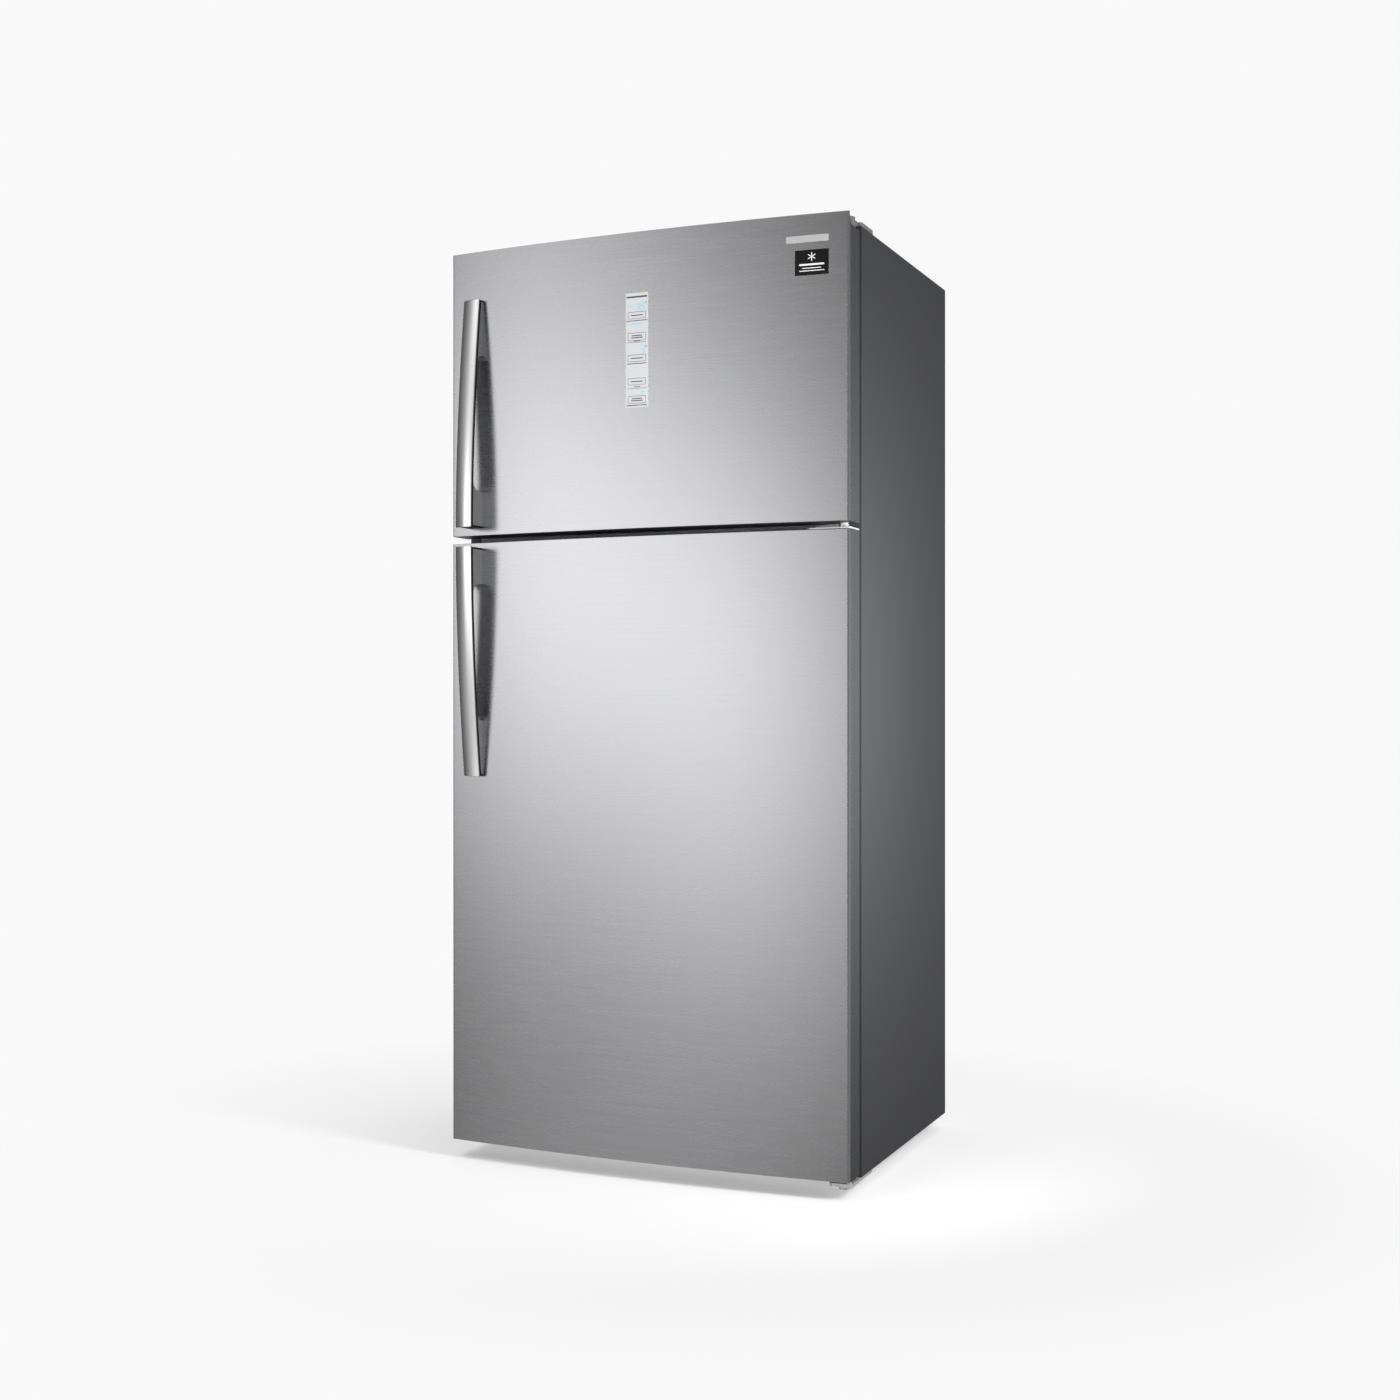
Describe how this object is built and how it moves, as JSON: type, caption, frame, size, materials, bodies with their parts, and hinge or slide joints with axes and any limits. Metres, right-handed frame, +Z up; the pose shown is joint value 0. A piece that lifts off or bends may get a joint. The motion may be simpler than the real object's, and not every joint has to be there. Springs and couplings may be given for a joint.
{
  "type": "top freezer refrigerator",
  "caption": "Free-standing top freezer refrigerator with bowed steel doors hinged on the right, bar handles, shelves, drawers, door bins and a twist ice tray.",
  "frame": {"origin": "middle of the overall footprint, on the floor", "axes": "+Z up, +X towards the hinge side, -Y out of the front"},
  "size_m": [0.836, 0.786, 1.848],
  "materials": {
    "stainless_front": "satin",
    "cabinet_paint": "satin",
    "door_edge_plastic": "satin",
    "foam": "matte",
    "liner_white": "gloss",
    "seal_grey": "matte",
    "clear_plastic": "gloss",
    "ice_plastic": "gloss",
    "shelf_glass": "gloss",
    "handle_chrome": "polished",
    "handle_satin": "satin",
    "panel_film": "satin",
    "badge_metal": "polished",
    "label_black": "gloss",
    "zinc_plate": "satin",
    "back_steel": "satin",
    "grey_plastic": "matte",
    "black_plastic": "matte",
    "lamp_diffuser": "satin",
    "coil_aluminium": "satin",
    "copper_tube": "satin",
    "compressor_black": "satin",
    "rubber_mount": "matte"
  },
  "bodies": {
    "cabinet": {"cabinet_shell": "cabinet_paint", "cabinet_insulation": "foam", "freezer_liner": "liner_white", "fridge_liner": "liner_white", "back_panel": "back_steel", "mullion_rail": "cabinet_paint", "base_plate": "zinc_plate", "machine_cover": "back_steel", "cord_inlet": "black_plastic", "leveling_feet": "black_plastic", "roller_brackets": "zinc_plate", "top_hinge_bracket": "zinc_plate", "top_hinge_cover": "grey_plastic", "middle_hinge_bracket": "zinc_plate", "bottom_hinge_bracket": "zinc_plate", "hinge_screws": "zinc_plate", "freezer_shelf_glass": "shelf_glass", "fridge_shelf_glass": "shelf_glass", "shelf_frames": "liner_white", "crisper_cover": "shelf_glass", "ice_maker_frame": "liner_white", "freezer_duct_cover": "liner_white", "fridge_duct_cover": "liner_white", "lamp_covers": "lamp_diffuser", "evaporator_fan_shroud": "grey_plastic", "condenser_fan_shroud": "grey_plastic", "evaporator_coil": "coil_aluminium", "defrost_heater": "coil_aluminium", "condenser_coil": "copper_tube", "drain_pan": "grey_plastic", "compressor": "compressor_black", "compressor_grommets": "rubber_mount", "refrigerant_pipes": "copper_tube"},
    "freezer_door": {"freezer_door_skin": "stainless_front", "freezer_door_frame": "door_edge_plastic", "freezer_door_insulation": "foam", "freezer_door_liner": "liner_white", "freezer_door_gasket": "seal_grey", "freezer_door_bins": "clear_plastic", "freezer_handle_grip": "handle_chrome", "freezer_handle_body": "handle_satin", "control_panel": "panel_film", "nameplate": "badge_metal", "door_label": "label_black"},
    "fridge_door": {"fridge_door_skin": "stainless_front", "fridge_door_frame": "door_edge_plastic", "fridge_door_insulation": "foam", "fridge_door_liner": "liner_white", "fridge_door_gasket": "seal_grey", "fridge_door_bins": "clear_plastic", "fridge_handle_grip": "handle_chrome", "fridge_handle_body": "handle_satin"},
    "condenser_fan": {"condenser_fan": "black_plastic"},
    "evaporator_fan": {"evaporator_fan": "black_plastic"},
    "ice_tray": {"ice_tray": "ice_plastic"},
    "ice_bin": {"ice_bin": "ice_plastic"},
    "crisper_drawer": {"crisper_drawer": "clear_plastic"},
    "chiller_drawer": {"chiller_drawer": "clear_plastic"},
    "rear_roller_left": {"rear_roller_left": "black_plastic"},
    "rear_roller_right": {"rear_roller_right": "black_plastic"}
  },
  "joints": [
    {"name": "freezer_door_hinge", "type": "hinge", "parent": "cabinet", "child": "freezer_door", "pos_m": [0.396, -0.296, 1.548], "axis": [0, 0, 1], "range_deg": [0, 110]},
    {"name": "fridge_door_hinge", "type": "hinge", "parent": "cabinet", "child": "fridge_door", "pos_m": [0.396, -0.296, 0.647], "axis": [0, 0, 1], "range_deg": [0, 110]},
    {"name": "condenser_fan_spin", "type": "hinge", "parent": "cabinet", "child": "condenser_fan", "pos_m": [0.051, 0.298, 0.128], "axis": [1, 0, 0], "continuous": true},
    {"name": "evaporator_fan_spin", "type": "hinge", "parent": "cabinet", "child": "evaporator_fan", "pos_m": [0, 0.274, 1.625], "axis": [0, 1, 0], "continuous": true},
    {"name": "ice_tray_twist", "type": "hinge", "parent": "cabinet", "child": "ice_tray", "pos_m": [-0.24, 0.079, 1.462], "axis": [0, 1, 0], "range_deg": [0, 100], "stiffness_Nm_per_rad": 0.2},
    {"name": "ice_bin_slide", "type": "slide", "parent": "cabinet", "child": "ice_bin", "axis": [0, -1, 0], "range_m": [0, 0.085]},
    {"name": "crisper_slide", "type": "slide", "parent": "cabinet", "child": "crisper_drawer", "axis": [0, -1, 0], "range_m": [0, 0.055]},
    {"name": "chiller_slide", "type": "slide", "parent": "cabinet", "child": "chiller_drawer", "axis": [0, -1, 0], "range_m": [0, 0.055]},
    {"name": "rear_roller_left_spin", "type": "hinge", "parent": "cabinet", "child": "rear_roller_left", "pos_m": [-0.318, 0.335, 0.013], "axis": [1, 0, 0], "continuous": true},
    {"name": "rear_roller_right_spin", "type": "hinge", "parent": "cabinet", "child": "rear_roller_right", "pos_m": [0.318, 0.335, 0.013], "axis": [1, 0, 0], "continuous": true}
  ]
}
